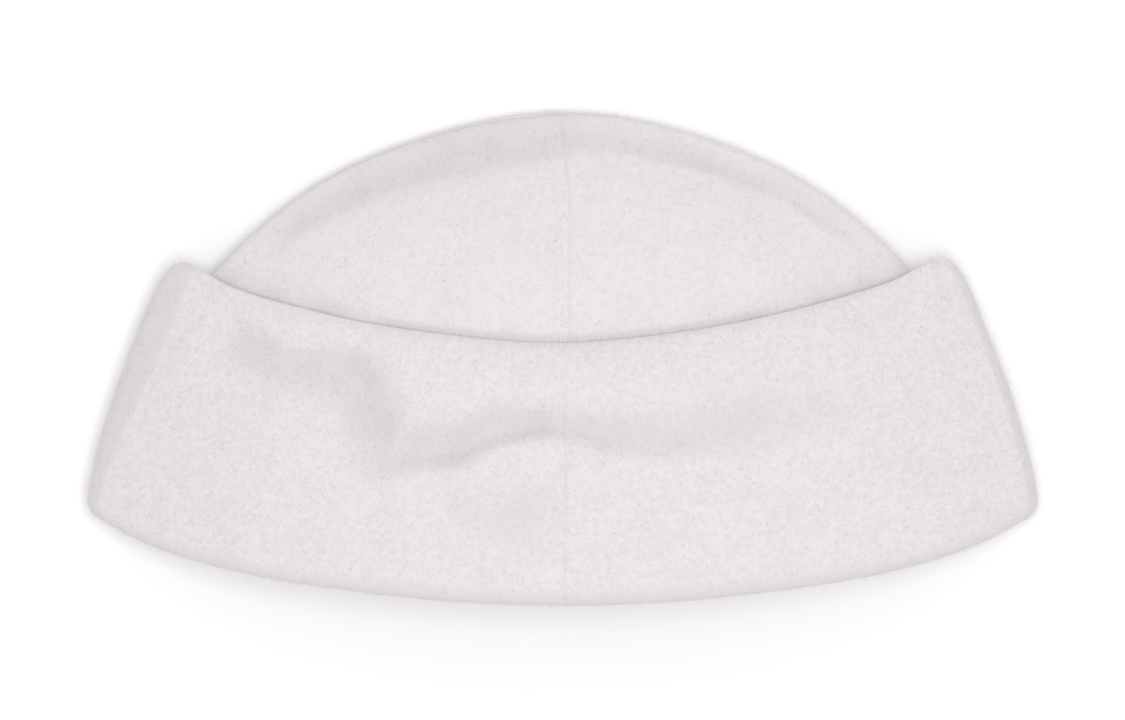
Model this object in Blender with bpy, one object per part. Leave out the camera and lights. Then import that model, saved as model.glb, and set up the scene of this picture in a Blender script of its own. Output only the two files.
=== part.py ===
"""A soft beanie of thick napped cloth, lying on its back with its wide cuff turned up.

Frame: metres, +Z up from the surface that the hat lies on. +Y runs from the mouth to the top of the crown,
+X to the hat's side. The origin is on that surface, under the middle of the hat.

The hat is two shells, one in the other. Each is a front that arches up and a back that lies flat, and a roll
of the cloth joins them down both sides. The crown is four gores that meet at the apex. The cuff is four
panels: each turns round the rim in a fold, and then runs back up outside the crown to a free edge.
"""

import math
from collections import namedtuple

import bmesh
import bpy
from mathutils import Vector

MM = 0.001

# The cloth
CROWN_CLOTH = 2.4 * MM
CUFF_CLOTH = 2.6 * MM
SEAM_GAP = 0.3 * MM

# The crown lies flat as part of a disc whose centre is near the rim. Its shoulders, beside the apex, are a
# little flatter than the disc.
CROWN_RADIUS = 139.3 * MM
CROWN_CENTRE_Y = -64.1 * MM
CROWN_ROLL = 4.2 * MM
CROWN_CORE = CROWN_RADIUS - CROWN_ROLL
CROWN_TOP_Y = CROWN_CENTRE_Y + CROWN_CORE
SHOULDER_FLAT = 0.9 * MM
SHOULDER_SPAN = math.radians(35)

# The cuff is a band that is wider at the rim than at its free edge.
CUFF_HALF_WIDTH = 144.9 * MM
CUFF_WIDEST_Y = -43.9 * MM
CUFF_SIDE = 67.2 * MM
CUFF_TAPER = 21.4 * MM
CUFF_TAPER_POWER = 1.35
CUFF_ROLL = 7.0 * MM

# The rim, where the cloth turns over into the cuff. In plan it is an even bow with rounded corners. The fold
# leaves room for the crown's edge, and reaches out past the row that it turns round.
RIM_Y = -71.9 * MM
RIM_SIDE_Y = -46.5 * MM
RIM_CORNER_SHARE = 0.2
RIM_CORNER_POWER = 10
RIM_CORNER_LIFT = 3.0 * MM
RIM_CORNER_FADE = 6
JOINT_GAP = 0.45 * MM
FOLD_GAP = 1.2 * MM
FOLD_REACH = 3.3 * MM
RIM_OUTWARD = 0.8

# The free edge of the cuff sags between its two corners, a little to the left of the middle.
EDGE_LOW_Y = 5.2 * MM
EDGE_CORNER_Y = 29.6 * MM
EDGE_LOW_X = -2.0 * MM
EDGE_HALF_SPAN = 117.5 * MM
EDGE_POWER = 1.8
CORNER_DROP = 5.5 * MM
BACK_EDGE_LOW_Y = 0.5 * MM
EDGE_STANDOFF = 3.2 * MM

# The side seams' height above the surface, and how far the front arches over them
SIDE_HEIGHT = 11.0 * MM
APEX_HEIGHT = 8.0 * MM
FRONT_RISE = 32.0 * MM
FRONT_POWER = 2.6
MOUTH_SAG = 0.07
MOUTH_SAG_FROM_Y = -18.0 * MM

# The back sinks from the side seams to the surface. The crown's lies on the cuff's, and past its edge drops
# to the surface.
CROWN_BACK_DEPTH = 3.9 * MM
CROWN_BACK_POWER = 6
CUFF_BACK_DEPTH = 4.4 * MM
CUFF_BACK_POWER = 8
LAYER_GAP = 0.85 * MM
CROWN_OFF_FLOOR = 0.35 * MM
DROP_START = 3.0 * MM
DROP_LENGTH = 14.0 * MM

# The crown's front takes the cuff's folds up to the last stretch under the cuff. Near a side seam, the seam
# holds the cloth flat.
UNDER_CUFF = 16.0 * MM
SEAM_HOLD_POWER = 8

# The grid of each panel, counted in faces
ACROSS = 14
ACROSS_SWEEP = math.radians(80)
ROLL_STEPS = 4
CROWN_ROWS = 17
FOLD_STEPS = 5
CUFF_ROWS = 12

FRONT, BACK = 1, -1
RIGHT, LEFT = 1, -1

# A fold is a soft stroke pressed into the front. Its middle is at x and y, it runs along heading for half its
# length each way, and fades over half_width. Sizes are in millimetres and headings in degrees from +X. A
# negative depth is a swelling.
Fold = namedtuple("Fold", "name x y heading half_length half_width depth")
CUFF_FOLDS = (
    Fold("crease_start", -91, 2, -59, 9, 6.5, 1.6),
    Fold("crease_shoulder", -68, -3, -20, 15, 8.0, 2.0),
    Fold("crease_fall", -59, -17, -68, 14, 7.5, 2.6),
    Fold("crease_bend", -40, -30, 4, 14, 7.0, 2.6),
    Fold("crease_rise", -13, -22, 16, 16, 6.5, 2.2),
    Fold("crease_crest", 15, -24, -12, 16, 6.5, 1.7),
    Fold("crease_tail", 43, -29, -5, 20, 8.0, 1.0),
    Fold("right_hollow", 62, -10, -15, 28, 14.0, 1.1),
    Fold("left_hollow", -20, -48, -50, 14, 10.0, 1.0),
    Fold("upper_swell", 8, -8, 0, 26, 9.0, -1.0),
    Fold("lower_swell", -40, -48, 20, 24, 9.0, -1.0),
)
CROWN_FOLDS = (
    Fold("brow_swell", -13, 22, 0, 20, 12.0, -1.2),
    Fold("left_slope", -58, 48, 38, 34, 9.0, 1.8),
    Fold("right_slope", 50, 50, -36, 30, 8.0, 1.2),
)

CLOTH_COLOUR = (0.80, 0.765, 0.775, 1.0)


def mix(first, last, share):
    return first + (last - first) * share


def smooth_step(start, end, value):
    share = min(max((value - start) / (end - start), 0.0), 1.0)
    return share * share * (3 - 2 * share)


def pressed(folds, x, y):
    """How far the folds push the cloth in at a point."""
    total = 0.0
    for fold in folds:
        heading = math.radians(fold.heading)
        dx = x / MM - fold.x
        dy = y / MM - fold.y
        along = (dx * math.cos(heading) + dy * math.sin(heading)) / fold.half_length
        across = (dy * math.cos(heading) - dx * math.sin(heading)) / fold.half_width
        total += fold.depth * MM * math.exp(-(along**4) - across**2)
    return total


def cuff_half_width(y):
    above = max(y - CUFF_WIDEST_Y, 0.0) / CUFF_SIDE
    return CUFF_HALF_WIDTH - CUFF_TAPER * above**CUFF_TAPER_POWER


def cuff_edge_y(x, face):
    """The free edge of the cuff, in plan."""
    if face == FRONT:
        low, corner = EDGE_LOW_Y, EDGE_CORNER_Y
    else:
        low, corner = BACK_EDGE_LOW_Y, EDGE_CORNER_Y - CORNER_DROP
    return low + (corner - low) * (abs(x - EDGE_LOW_X) / EDGE_HALF_SPAN) ** EDGE_POWER


def side_height(y):
    """How high the side seams lie. They sink towards the apex."""
    return mix(SIDE_HEIGHT, APEX_HEIGHT, smooth_step(EDGE_CORNER_Y, CROWN_TOP_Y, y))


def front_rise(y):
    """How far the front arches over the side seams on the centre line, before the crown closes."""
    sag = max(MOUTH_SAG_FROM_Y - y, 0.0) / (MOUTH_SAG_FROM_Y - RIM_Y)
    return FRONT_RISE * (1 - MOUTH_SAG * sag * sag)


def crown_radius(angle):
    """The radius of the crown's core in plan, in a direction measured from +X."""
    share = min((math.pi / 2 - angle) / SHOULDER_SPAN, 1.0)
    return CROWN_CORE - SHOULDER_FLAT * math.sin(math.pi * share) ** 2


def crown_reach(x, y):
    """0 on the disc's centre and 1 on the line where the front and back of the crown meet."""
    up = max(y - CROWN_CENTRE_Y, 0.0)
    return math.hypot(x, up) / crown_radius(math.atan2(up, abs(x)))


def crown_height(x, y, face):
    """The height of the crown's core, the surface that its cloth is rolled round."""
    reach = crown_reach(x, y)
    if face == FRONT:
        return side_height(y) + front_rise(y) * (1 - reach**FRONT_POWER)
    on_cuff = CROWN_ROLL + CUFF_CLOTH + LAYER_GAP
    past_edge = y - cuff_edge_y(x, BACK) - DROP_START
    floor = mix(on_cuff, CROWN_ROLL + CROWN_OFF_FLOOR, smooth_step(0.0, DROP_LENGTH, past_edge))
    depth = CROWN_BACK_DEPTH + on_cuff - floor
    return max(side_height(y) - depth * (1 - reach**CROWN_BACK_POWER), floor)


def cuff_height(x, y, face):
    """The height of the cuff's core."""
    across = abs(x) / (cuff_half_width(y) - CUFF_ROLL)
    if face == BACK:
        lowest = CUFF_ROLL + SEAM_GAP / 2
        return max(SIDE_HEIGHT - CUFF_BACK_DEPTH * (1 - across**CUFF_BACK_POWER), lowest)
    on_crown = front_rise(y) * (1 - crown_reach(0.0, y) ** FRONT_POWER) + CROWN_ROLL
    standoff = mix(FOLD_GAP, EDGE_STANDOFF, smooth_step(RIM_Y, EDGE_LOW_Y, y))
    rise = on_crown + standoff + CUFF_CLOTH - CUFF_ROLL
    return SIDE_HEIGHT + rise * (1 - across**FRONT_POWER)


def normal_of(height, x, y, face):
    """The outward normal of a core surface."""
    step = 0.05 * MM
    dx = (height(x + step, y, face) - height(x - step, y, face)) / (2 * step)
    dy = (height(x, y + step, face) - height(x, y - step, face)) / (2 * step)
    return (face * Vector((-dx, -dy, 1.0))).normalized()


def rolled(start, end, share):
    """The normal part of the way round the roll from the face's own normal to the side's."""
    angle = start.angle(end)
    return (math.sin((1 - share) * angle) * start + math.sin(share * angle) * end) / math.sin(angle)


def columns():
    """(share of the width, share of the roll) for each column, from the centre seam to the side seam."""
    for column in range(ACROSS + 1):
        yield column / ACROSS, 0.0
    for step in range(1, ROLL_STEPS + 1):
        yield 1.0, step / ROLL_STEPS


def rim_bow(across):
    """How far up a row has risen, from 0 at the centre seam to 1 at the side seam."""
    return mix(across**2, across**RIM_CORNER_POWER, RIM_CORNER_SHARE)


def row_point(share, half_width, centre_y, side_y, hand):
    """A point on a row that runs from the centre seam to the side seam, bowed as the rim is."""
    across = math.sin(share * ACROSS_SWEEP) / math.sin(ACROSS_SWEEP)
    return hand * (half_width * across + SEAM_GAP / 2), mix(centre_y, side_y, rim_bow(across))


def corner_turn(roll):
    """How far the cloth has turned a corner, from 0 on the face to 1 at the side seam."""
    return 1 - math.cos(roll * math.pi / 2)


def crown_points(past_rim, upward, share, roll, hand, face):
    """(outer, inner) points of the crown's cloth. upward is 0 at the rim and 1 at the apex."""
    rim_angle = math.asin((RIM_SIDE_Y - CROWN_CENTRE_Y) / CROWN_CORE) + past_rim / CROWN_CORE
    side_angle = mix(rim_angle, math.pi / 2, upward)
    half_width = crown_radius(side_angle) * math.cos(side_angle)
    side_y = CROWN_CENTRE_Y + crown_radius(side_angle) * math.sin(side_angle)
    centre_y = mix(RIM_Y + past_rim, CROWN_TOP_Y, upward)
    x, y = row_point(share, half_width, centre_y, side_y, hand)
    normal = normal_of(crown_height, x, y, face)
    if roll:
        outward = Vector((hand * math.cos(side_angle), math.sin(side_angle), 0.0))
        normal = rolled(normal, outward, roll)
    lift = RIM_CORNER_LIFT * corner_turn(roll) * (1 - upward) ** RIM_CORNER_FADE
    core = Vector((x, y + lift, crown_height(x, y, face) + face * SEAM_GAP / 2))
    if face == FRONT:
        under_cuff = 1 - smooth_step(-UNDER_CUFF, 0.0, y - cuff_edge_y(x, FRONT))
        push = under_cuff * pressed(CUFF_FOLDS, x, y) + (1 - under_cuff) * pressed(CROWN_FOLDS, x, y)
        core -= normal * push * (1 - min(crown_reach(x, y), 1.0) ** SEAM_HOLD_POWER)
    return core + normal * CROWN_ROLL, core + normal * (CROWN_ROLL - CROWN_CLOTH)


def cuff_points(upward, share, roll, hand, face):
    """(outer, inner) points of the cuff's outer layer. upward is 0 at the rim and 1 at the free edge."""
    top_side_y = cuff_edge_y(hand * EDGE_HALF_SPAN, face)
    if face == FRONT:
        top_side_y -= CORNER_DROP * corner_turn(roll)
    half_width = cuff_half_width(mix(RIM_SIDE_Y, top_side_y, upward)) - CUFF_ROLL
    x, rim_y = row_point(share, half_width, RIM_Y, RIM_SIDE_Y, hand)
    edge_y = mix(cuff_edge_y(x, face), top_side_y, share**SEAM_HOLD_POWER)
    y = mix(rim_y, edge_y, upward)
    normal = normal_of(cuff_height, x, y, face)
    if roll:
        normal = rolled(normal, Vector((hand, 0.0, 0.0)), roll)
    lift = RIM_CORNER_LIFT * corner_turn(roll) * (1 - upward) ** RIM_CORNER_FADE
    core = Vector((x, y + lift, cuff_height(x, y, face) + face * SEAM_GAP / 2))
    if face == FRONT:
        core -= normal * pressed(CUFF_FOLDS, x, y) * (1 - share**SEAM_HOLD_POWER)
    return core + normal * CUFF_ROLL, core + normal * (CUFF_ROLL - CUFF_CLOTH)


def fold_points(turn, share, roll, hand, face):
    """(outer, inner) points where the cloth turns over at the rim. turn is 0 at the crown and 1 at the cuff."""
    crown_outer, crown_inner = crown_points(0.0, 0.0, share, roll, hand, face)
    cuff_outer, cuff_inner = cuff_points(0.0, share, roll, hand, face)
    angle = turn * math.pi
    outward = Vector((hand * RIM_OUTWARD * share**RIM_CORNER_POWER, -1.0, 0.0))
    made = []
    for start, end, reach in (
        (crown_inner, cuff_outer, FOLD_REACH),
        (crown_outer, cuff_inner, FOLD_REACH - CUFF_CLOTH),
    ):
        radius = (end - start) / 2
        ahead = (outward - outward.project(radius)).normalized() * min(radius.length, reach)
        made.append((start + end) / 2 - radius * math.cos(angle) + ahead * math.sin(angle))
    return made[0], made[1]


def shell(name, rows):
    """A closed solid from rows of (outer, inner) points, which share their number of columns."""
    mesh = bmesh.new()
    outer = [[mesh.verts.new(pair[0]) for pair in row] for row in rows]
    inner = [[mesh.verts.new(pair[1]) for pair in row] for row in rows]
    last_row, last_column = len(rows) - 1, len(rows[0]) - 1
    for r in range(last_row):
        for c in range(last_column):
            mesh.faces.new((outer[r][c], outer[r][c + 1], outer[r + 1][c + 1], outer[r + 1][c]))
            mesh.faces.new((inner[r][c], inner[r + 1][c], inner[r + 1][c + 1], inner[r][c + 1]))
    for r in range(last_row):
        for c in (0, last_column):
            mesh.faces.new((outer[r][c], outer[r + 1][c], inner[r + 1][c], inner[r][c]))
    for c in range(last_column):
        for r in (0, last_row):
            mesh.faces.new((outer[r][c], inner[r][c], inner[r][c + 1], outer[r][c + 1]))
    bmesh.ops.remove_doubles(mesh, verts=mesh.verts, dist=0.001 * MM)
    bmesh.ops.dissolve_degenerate(mesh, edges=mesh.edges, dist=0.001 * MM)
    bmesh.ops.recalc_face_normals(mesh, faces=mesh.faces)
    data = bpy.data.meshes.new(name)
    mesh.to_mesh(data)
    mesh.free()
    data.shade_smooth()
    data.set_sharp_from_angle(angle=math.radians(50))
    piece = bpy.data.objects.new(name, data)
    bpy.context.scene.collection.objects.link(piece)
    return piece


def crown_gore(name, hand, face):
    """One of the crown's four gores, from the rim to the apex."""
    rows = []
    for r in range(CROWN_ROWS + 1):
        upward = math.sin(r / CROWN_ROWS * math.pi / 2)
        rows.append([crown_points(JOINT_GAP, upward, *column, hand, face) for column in columns()])
    return shell(name, rows)


def cuff_panel(name, hand, face):
    """One of the cuff's four panels, from its joint with the crown, round the rim, to its free edge."""
    rows = []
    for step in range(FOLD_STEPS):
        rows.append([fold_points(step / FOLD_STEPS, *column, hand, face) for column in columns()])
    for r in range(CUFF_ROWS + 1):
        rows.append([cuff_points(r / CUFF_ROWS, *column, hand, face) for column in columns()])
    return shell(name, rows)


def cloth(name):
    """Matt off-white cloth with a faint sheen from its nap."""
    material = bpy.data.materials.new(name)
    material.use_nodes = True
    shader = material.node_tree.nodes["Principled BSDF"]
    shader.inputs["Base Color"].default_value = CLOTH_COLOUR
    shader.inputs["Roughness"].default_value = 0.95
    shader.inputs["Metallic"].default_value = 0.0
    shader.inputs["Sheen Weight"].default_value = 0.3
    return material


def main():
    for old in list(bpy.data.objects):
        bpy.data.objects.remove(old)
    for face, face_name in ((FRONT, "front"), (BACK, "back")):
        for hand, hand_name in ((RIGHT, "right"), (LEFT, "left")):
            for make, piece_name in ((crown_gore, "crown"), (cuff_panel, "cuff")):
                name = f"{piece_name}_{face_name}_{hand_name}"
                piece = make(name, hand, face)
                piece.data.materials.append(cloth(name + "_cloth"))


main()
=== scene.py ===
"""Looks of a soft off-white beanie, laid flat on its back and seen from above.

The hat is eight panels of thick napped cloth: four crown gores, and four panels of a wide cuff that turns up
round the rim. Each panel is a closed wall of cloth with its seams, stitch channels and folds pressed into
it. Threads run along the seams, and a nap of short fibres stands on the cloth. Lengths are in metres, apart
from the tables of stops and folds, which are in millimetres. A panel's points are rows by columns: the rows
go up the hat from the rim, and the columns go out from the centre seam.
"""

import sys
import logging
import math
from abc import ABC, abstractmethod
from collections.abc import Callable, Iterable, Mapping
from dataclasses import dataclass, field
from enum import Enum
from functools import partial, reduce
from typing import Any, NamedTuple

import bmesh
import bpy
import numpy as np
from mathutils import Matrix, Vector, noise


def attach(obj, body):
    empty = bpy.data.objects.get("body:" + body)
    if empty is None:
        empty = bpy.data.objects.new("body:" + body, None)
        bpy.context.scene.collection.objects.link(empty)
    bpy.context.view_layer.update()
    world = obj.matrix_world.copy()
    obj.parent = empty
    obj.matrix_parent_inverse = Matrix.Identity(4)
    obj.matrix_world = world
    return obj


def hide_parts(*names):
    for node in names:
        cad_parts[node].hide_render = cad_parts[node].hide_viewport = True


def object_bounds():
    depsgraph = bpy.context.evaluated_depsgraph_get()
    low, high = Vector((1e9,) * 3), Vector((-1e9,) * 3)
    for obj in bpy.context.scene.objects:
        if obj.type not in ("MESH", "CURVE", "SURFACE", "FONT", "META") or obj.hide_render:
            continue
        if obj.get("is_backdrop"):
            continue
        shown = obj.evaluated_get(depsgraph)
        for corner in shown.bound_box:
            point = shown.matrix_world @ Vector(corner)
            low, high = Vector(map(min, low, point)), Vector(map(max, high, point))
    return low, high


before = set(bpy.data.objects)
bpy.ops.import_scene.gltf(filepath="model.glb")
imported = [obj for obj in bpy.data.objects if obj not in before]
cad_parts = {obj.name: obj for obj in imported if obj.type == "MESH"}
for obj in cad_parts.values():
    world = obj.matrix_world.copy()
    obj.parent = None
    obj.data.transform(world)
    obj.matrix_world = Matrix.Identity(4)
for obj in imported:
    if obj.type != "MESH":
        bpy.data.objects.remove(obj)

MM = 0.001
TINY = 1e-12
LOG = logging.getLogger("beanie")
CAD_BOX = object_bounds()

Array = np.ndarray
Pair = tuple[np.ndarray, np.ndarray]
Range = tuple[float, float]
Colour = tuple[float, float, float, float]
Material = bpy.types.Material
Piece = bpy.types.Object
Socket = bpy.types.NodeSocket


class Face(Enum):
    """The two sides of a hat that lies flat."""

    FRONT = 1
    BACK = -1


class Hand(Enum):
    """The two halves of a face, on either side of its centre seam."""

    RIGHT = 1
    LEFT = -1


class Shown(Enum):
    """How closely a panel is seen, which sets how fine its grid and its nap are."""

    CLOSE = 1.0
    FAR = 1.9


def mix(first: Any, last: Any, share: Any) -> Any:
    """Blends from first to last by a share from 0 to 1."""
    return first + (last - first) * share


def smooth_step(start: float, end: float, value: Any) -> Array:
    """Rises smoothly from 0 where the value is start to 1 where it is end."""
    share = np.clip((value - start) / (end - start), 0.0, 1.0)
    return share * share * (3 - 2 * share)


def ridge(distance: Array, half_width: float) -> Array:
    """Reads a round ridge, 1 at a distance of 0 and fading over half_width."""
    return np.exp(-((distance / half_width) ** 2))


def unit(vectors: Array) -> Array:
    """Scales vectors, whose X, Y and Z are on the last axis, to a length of 1."""
    return vectors / np.maximum(np.linalg.norm(vectors, axis=-1, keepdims=True), TINY)


def ripple(points: Array, size: float, seed: float) -> Array:
    """Reads smooth uneven ups and downs.

    Args:
        points: The places to read them at.
        size: The size of one ripple.
        seed: Sets one pattern apart from another.

    Returns:
        A value from about -1 to 1 for each point.
    """
    flat = (points.reshape(-1, 3) / size + seed).tolist()
    values = np.fromiter((noise.noise(spot) for spot in flat), float, len(flat))
    return values.reshape(points.shape[:-1])


@dataclass(frozen=True)
class Fold:
    """A soft stroke pressed into the cloth, in millimetres, with its heading in degrees from +X.

    It runs along heading for half_length each way from x and y, and fades over half_width. A negative depth
    is a swelling.
    """

    x: float
    y: float
    heading: float
    half_length: float
    half_width: float
    depth: float

    def depth_at(self, x: Array, y: Array) -> Array:
        """Works out how far the stroke pushes the cloth in.

        Args:
            x: X of each point.
            y: Y of each point.

        Returns:
            The depth at each point.
        """
        heading = math.radians(self.heading)
        dx = x / MM - self.x
        dy = y / MM - self.y
        along = (dx * math.cos(heading) + dy * math.sin(heading)) / self.half_length
        across = (dy * math.cos(heading) - dx * math.sin(heading)) / self.half_width
        return self.depth * MM * np.exp(-(along**4) - across**2)


class Stop(NamedTuple):
    """A point on a crease's line, and the crease's sizes there."""

    x: float
    y: float
    depth: float
    rise: float
    fall: float


@dataclass(frozen=True)
class Lip:
    """A crease that the cloth rises out of on one side, in millimetres.

    On the low side, which is 1 to the left of the line and -1 to the right, the cloth lies at its own height
    at the line, sinks to depth over rise, and comes back over fall. The rise ends softly at the line where
    abrupt is 0, and in an edge where it is 1.
    """

    low_side: int
    abrupt: float
    stops: tuple[Stop, ...]

    def depth_at(self, x: Array, y: Array) -> Array:
        """Works out how far the crease pushes the cloth in.

        Args:
            x: X of each point.
            y: Y of each point.

        Returns:
            The depth at each point.
        """
        x, y = x / MM, y / MM
        nearest = np.full(x.shape, np.inf)
        total = np.zeros(x.shape)
        for start, end in zip(self.stops, self.stops[1:]):
            run_x, run_y = end.x - start.x, end.y - start.y
            dx, dy = x - start.x, y - start.y
            share = np.clip((dx * run_x + dy * run_y) / (run_x**2 + run_y**2), 0.0, 1.0)
            distance = np.hypot(dx - share * run_x, dy - share * run_y)
            side = self.low_side * np.sign(run_x * dy - run_y * dx) * distance
            depth = mix(start.depth, end.depth, share)
            rise = mix(start.rise, end.rise, share)
            fall = mix(start.fall, end.fall, share)
            risen = np.clip(side, 0.0, rise) / rise
            on_rise = mix(smooth_step(0.0, 1.0, risen), 1 - (1 - risen) ** 2, self.abrupt)
            made = depth * on_rise * np.exp(-((np.maximum(side - rise, 0.0) / fall) ** 2))
            total = np.where(distance < nearest, made, total)
            nearest = np.minimum(nearest, distance)
        return total * MM


SHOULDER = Lip(
    low_side=-1,
    abrupt=0.25,
    stops=(
        Stop(-98.6, 17.9, 0.0, 6, 6),
        Stop(-92, 11, 2.6, 6, 10),
        Stop(-83.4, 5.7, 3.0, 6.5, 9),
        Stop(-71, 6.9, 3.8, 8.5, 9.5),
        Stop(-61.4, 6.3, 4.0, 10, 12),
        Stop(-50, -0.5, 4.0, 13.5, 9),
        Stop(-44, -12.7, 4.0, 15, 11),
        Stop(-43, -22, 3.9, 12.5, 12),
        Stop(-43, -29.5, 3.2, 11, 11),
        Stop(-43, -37, 0.0, 9, 9),
    ),
)
WAIST = Lip(
    low_side=1,
    abrupt=0.2,
    stops=(
        Stop(-63, -43, 0.0, 6, 6),
        Stop(-54, -40, 2.4, 9, 7),
        Stop(-43.8, -36.7, 3.7, 9, 7),
        Stop(-31.5, -35.2, 4.0, 7, 9.5),
        Stop(-25, -31.8, 3.8, 6.5, 8.5),
        Stop(-19, -28.2, 3.8, 6, 8),
        Stop(-13, -26.8, 4.0, 5.5, 7),
        Stop(-7, -25.5, 3.8, 5.5, 5.5),
        Stop(-1, -25.8, 2.7, 5.5, 5),
        Stop(5, -27, 2.9, 6, 5.5),
        Stop(11.3, -31.5, 3.4, 8.5, 7),
        Stop(17.5, -31.2, 3.2, 8, 7.5),
        Stop(24, -32, 2.8, 7.5, 9),
        Stop(35.7, -33, 2.3, 8, 13),
        Stop(60, -33, 2.1, 14, 14),
        Stop(85, -25, 1.4, 10, 13),
        Stop(102, -20, 0.0, 9, 10),
    ),
)
CUFF_FOLDS = (
    SHOULDER,
    WAIST,
    # The hollow under the waist, the one at the left side, and the swells over and under the waist.
    Fold(-20, -47, 0, 20, 11.0, 2.2),
    Fold(-121, -2, 75, 14, 5.0, 0.4),
    Fold(8, -8, 0, 30, 9.0, -0.8),
    Fold(-40, -52, 20, 24, 9.0, -1.0),
)
CROWN_FOLDS = (
    # The swell over the cuff, and the slopes on the left and the right.
    Fold(-13, 22, 0, 20, 12.0, -1.2),
    Fold(-58, 50, 38, 34, 8.0, 0.6),
    Fold(50, 50, -36, 30, 8.0, 0.8),
)


def pressed(folds: Iterable[Fold | Lip], x: Array, y: Array) -> Array:
    """Works out what a set of folds pushes in. Where two creases meet, the deeper one counts.

    Args:
        folds: The strokes and creases.
        x: X of each point.
        y: Y of each point.

    Returns:
        The depth at each point.
    """
    soft, crease = np.zeros_like(x), np.zeros_like(x)
    for fold in folds:
        if isinstance(fold, Lip):
            crease = np.maximum(crease, fold.depth_at(x, y))
        else:
            soft = soft + fold.depth_at(x, y)
    return soft + crease


@dataclass(frozen=True)
class Seam:
    """The centre seam of a face: a groove, with a welt over the seam's allowance and thread to the left."""

    x: float
    groove: float
    groove_width: float = 0.8 * MM
    welt: float = 0.0
    welt_starts: Range = (-5.75 * MM, -4.25 * MM)
    welt_ends: Range = (-0.8 * MM, 0.0)
    thread_rows: tuple[float, ...] = ()
    channel: float = 0.1 * MM
    channel_width: float = 0.5 * MM
    straight_until_y: float = 45.0 * MM
    apex_y: float = 70.0 * MM

    def x_at(self, y: Any) -> Any:
        """Reads where the seam lies at a height up the hat. It drifts to the middle at the apex."""
        return self.x * (1 - smooth_step(self.straight_until_y, self.apex_y, y))

    def relief(self, x: Array, y: Array) -> Array:
        """Works out how far the seam lifts or sinks the cloth.

        Args:
            x: X of each point.
            y: Y of each point.

        Returns:
            The lift, negative where the cloth sinks.
        """
        side = x - self.x_at(y)
        welt = smooth_step(*self.welt_starts, side) * (1 - smooth_step(*self.welt_ends, side))
        lift = self.welt * welt - self.groove * ridge(side, self.groove_width)
        for row in self.thread_rows:
            lift = lift - self.channel * ridge(side + row, self.channel_width)
        return lift


class ValleyStop(NamedTuple):
    """The valley behind the crown's seam ridge at one place across the hat, in millimetres."""

    x: float
    depth: float
    inside_edge: float
    half_width: float


@dataclass(frozen=True)
class CrownForm:
    """The crown: part of a disc when it lies flat, arched up at the front and sunk at the back."""

    cloth: float = 2.4 * MM
    radius: float = 139.3 * MM
    centre_y: float = -64.1 * MM
    roll: float = 4.2 * MM
    shoulder_flat: float = 0.9 * MM
    shoulder_span: float = math.radians(35)
    side_height: float = 11.0 * MM
    apex_height: float = 8.0 * MM
    front_rise: float = 32.0 * MM
    front_power: float = 2.6
    mouth_sag: float = 0.07
    mouth_sag_from_y: float = -18.0 * MM
    back_depth: float = 3.9 * MM
    back_power: int = 6
    layer_gap: float = 0.85 * MM
    off_floor: float = 0.35 * MM
    drop_start: float = 3.0 * MM
    drop_length: float = 14.0 * MM
    seam_ridge: float = 0.45 * MM
    seam_ridge_in: float = 2.0 * MM
    seam_ridge_width: float = 2.0 * MM
    valley_stops: tuple[ValleyStop, ...] = (
        ValleyStop(-80, 2.3, 5.4, 4.6),
        ValleyStop(-56, 2.6, 6.2, 5.4),
        ValleyStop(-30, 2.8, 7.6, 7.0),
        ValleyStop(-8, 2.8, 7.2, 7.4),
        ValleyStop(8, 2.1, 5.6, 5.0),
        ValleyStop(40, 2.1, 6.1, 3.6),
        ValleyStop(72, 1.7, 4.5, 3.4),
    )
    valley_starts_y: Range = (26.0 * MM, 44.0 * MM)
    valley_power: float = 2.6

    @property
    def core(self) -> float:
        """The radius of the surface that the cloth is rolled round."""
        return self.radius - self.roll

    @property
    def top_y(self) -> float:
        """Y of the core's highest point in plan."""
        return self.centre_y + self.core

    def plan_radius(self, angle: Array) -> Array:
        """Reads the core's radius in plan at an angle from +X. It is a little less beside the apex."""
        share = np.minimum((math.pi / 2 - angle) / self.shoulder_span, 1.0)
        return self.core - self.shoulder_flat * np.sin(math.pi * share) ** 2

    def reach(self, x: Array, y: Array) -> Array:
        """Reads 0 on the disc's centre and 1 on the line where the front and the back meet."""
        up = np.maximum(y - self.centre_y, 0.0)
        return np.hypot(x, up) / self.plan_radius(np.arctan2(up, np.abs(x)))

    def inside_edge(self, x: Array, y: Array) -> Array:
        """Works out how far a point lies inside the crown's outline, in plan."""
        up = np.maximum(y - self.centre_y, 0.0)
        return self.plan_radius(np.arctan2(up, np.abs(x))) + self.roll - np.hypot(x, up)

    def valley(self, x: Array, y: Array) -> Array:
        """Works out how deep the front sinks behind its ridge. It sinks more, and further in, on the left.

        Args:
            x: X of each point.
            y: Y of each point.

        Returns:
            The depth at each point.
        """
        places, *columns = (np.array(column) * MM for column in zip(*self.valley_stops))
        depth, inside, width = (np.interp(x, places, column) for column in columns)
        across = np.abs(self.inside_edge(x, y) - inside) / width
        return depth * smooth_step(*self.valley_starts_y, y) * np.exp(-(across**self.valley_power))


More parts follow.
